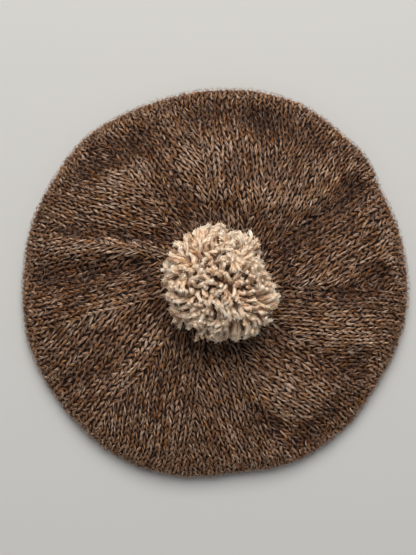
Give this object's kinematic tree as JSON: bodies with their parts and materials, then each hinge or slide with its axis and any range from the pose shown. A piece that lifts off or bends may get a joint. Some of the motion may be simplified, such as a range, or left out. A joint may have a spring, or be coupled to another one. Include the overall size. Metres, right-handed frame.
{
  "type": "tam o shanter",
  "caption": "Wide round knitted wool hat with a folded rim, a ribbed headband and a yarn pompom, lying flat",
  "frame": {"origin": "on the surface that the hat lies on, below the middle of the crown's outline", "axes": "+Z is up, out through the pompom; +Y is up in the picture and +X is to its right"},
  "size_m": [0.2776, 0.279, 0.0965],
  "materials": {
    "crown_wool": "brown heather wool in stocking stitch, with a short haze of loose fibres",
    "headband_wool": "the same brown heather wool in rib",
    "pompom_yarn": "fawn wool yarn, cut ends fluffed out",
    "tie_yarn": "fawn wool yarn, plain"
  },
  "bodies": {
    "root": {"crown_top": "crown_wool", "crown_underside": "crown_wool", "headband": "headband_wool", "pompom": "pompom_yarn", "pompom_tie": "tie_yarn"}
  },
  "joints": []
}
